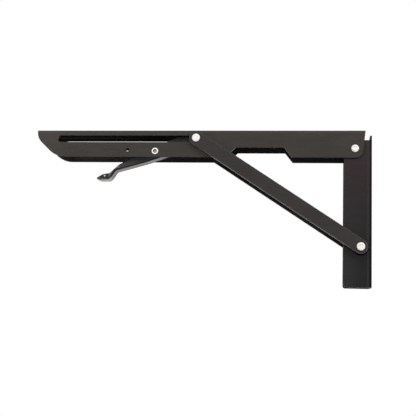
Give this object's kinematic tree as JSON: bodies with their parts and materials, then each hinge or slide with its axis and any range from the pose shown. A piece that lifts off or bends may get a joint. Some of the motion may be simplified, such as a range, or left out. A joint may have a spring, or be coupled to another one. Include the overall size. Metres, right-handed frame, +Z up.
{
  "type": "folding shelf bracket",
  "caption": "Folding shelf bracket of folded steel: slotted arm hinged on a wall channel, flat struts with sliding studs, and a sprung release lever.",
  "frame": {"origin": "midway between the two wall screws, on the face that lies on the wall", "axes": "+X from the room into the wall, +Y across the bracket from the near side to the far side, +Z up"},
  "size_m": [0.4076, 0.0518, 0.1858],
  "materials": {
    "wall_paint": "satin black enamel",
    "arm_paint": "satin black enamel",
    "strut_paint": "satin black enamel",
    "lever_paint": "satin black enamel",
    "rivet_zinc": "bright zinc plate",
    "ring_zinc": "zinc plate",
    "stud_steel": "turned and zinc plated",
    "spring_steel": "drawn wire, zinc plated"
  },
  "bodies": {
    "wall": {"wall_channel": "wall_paint", "hinge_washer_near": "ring_zinc", "hinge_washer_far": "ring_zinc", "hinge_sleeve": "ring_zinc", "foot_rivet": "rivet_zinc", "foot_spacer_near": "ring_zinc", "foot_spacer_far": "ring_zinc", "foot_sleeve": "ring_zinc"},
    "arm": {"arm_channel": "arm_paint", "hinge_rivet": "rivet_zinc", "lever_rivet": "rivet_zinc", "lever_washer_near": "ring_zinc", "lever_washer_far": "ring_zinc", "lever_spring": "spring_steel"},
    "strut": {"strut_bar_near": "strut_paint", "strut_bar_far": "strut_paint", "strut_rivet_near": "rivet_zinc", "strut_rivet_far": "rivet_zinc"},
    "slide": {"slide_stud_near": "stud_steel", "slide_stud_far": "stud_steel", "slide_washer_near": "ring_zinc", "slide_washer_far": "ring_zinc"},
    "lever": {"release_lever": "lever_paint"}
  },
  "joints": [
    {"name": "arm_fold", "type": "hinge", "parent": "wall", "child": "arm", "pos_m": [-0.0199, 0, 0.0824], "axis": [0, -1, 0], "range_deg": [0, 90]},
    {"name": "strut_swing", "type": "hinge", "parent": "wall", "child": "strut", "pos_m": [-0.013, 0, -0.0343], "axis": [0, -1, 0], "range_deg": [0, 118.7]},
    {"name": "stud_slide", "type": "slide", "parent": "arm", "child": "slide", "axis": [-1, 0, 0], "range_m": [0, 0.16108]},
    {"name": "lever_press", "type": "hinge", "parent": "arm", "child": "lever", "pos_m": [-0.2597, 0, 0.0786], "axis": [0, 1, 0], "range_deg": [0, 15], "stiffness_Nm_per_rad": 0.25, "springref_deg": -28.65, "deforming": ["lever_spring"]}
  ],
  "couplings": [
    {"joint": "strut_swing", "follows": "arm_fold", "ratio": 1.3183},
    {"joint": "stud_slide", "follows": "arm_fold", "m_per_rad": 0.10252}
  ]
}
